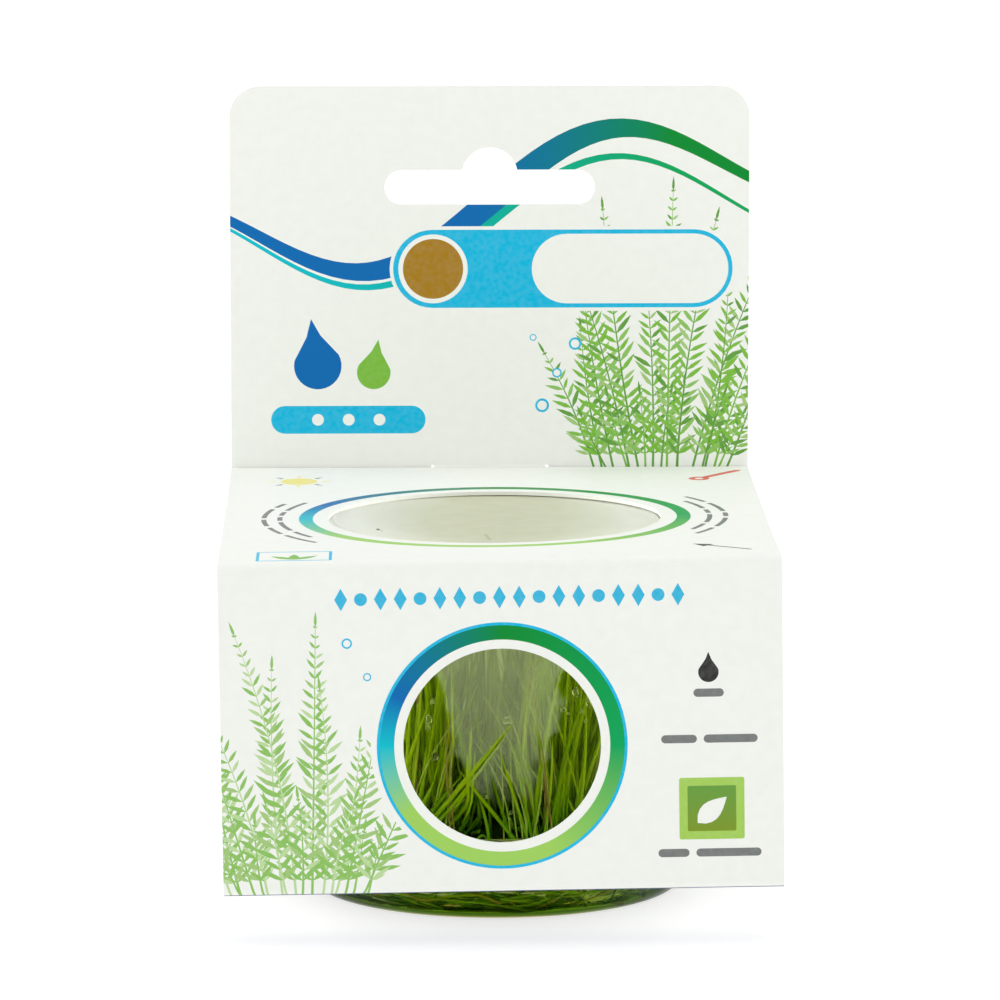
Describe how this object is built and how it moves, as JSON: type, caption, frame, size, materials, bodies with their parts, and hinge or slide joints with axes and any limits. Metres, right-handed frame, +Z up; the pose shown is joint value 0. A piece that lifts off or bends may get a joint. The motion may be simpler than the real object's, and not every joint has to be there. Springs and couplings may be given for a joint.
{
  "type": "dwarf hairgrass in a lidded culture cup with a card sleeve",
  "caption": "Dwarf hairgrass on gel in a clear lidded culture cup, held in a folded card sleeve with a hang slot, a round window and a round top opening.",
  "frame": {"origin": "centre of the cup's flat base, on the surface it stands on", "axes": "+X to the right of someone facing the sleeve's window, -Y towards them, +Z up"},
  "size_m": [0.0746, 0.0868, 0.1063],
  "materials": {
    "white_board": "satin",
    "clear_plastic": "gloss",
    "milky_plastic": "satin",
    "nutrient_gel": "gloss",
    "grass": "satin"
  },
  "bodies": {
    "root": {"card_sleeve": "white_board", "cup": "clear_plastic", "lid": "milky_plastic", "gel": "nutrient_gel", "tuft_middle": "grass", "tuft_right": "grass", "tuft_back_right": "grass", "tuft_back_left": "grass", "tuft_left": "grass", "tuft_front_left": "grass", "tuft_front_right": "grass"}
  },
  "joints": []
}
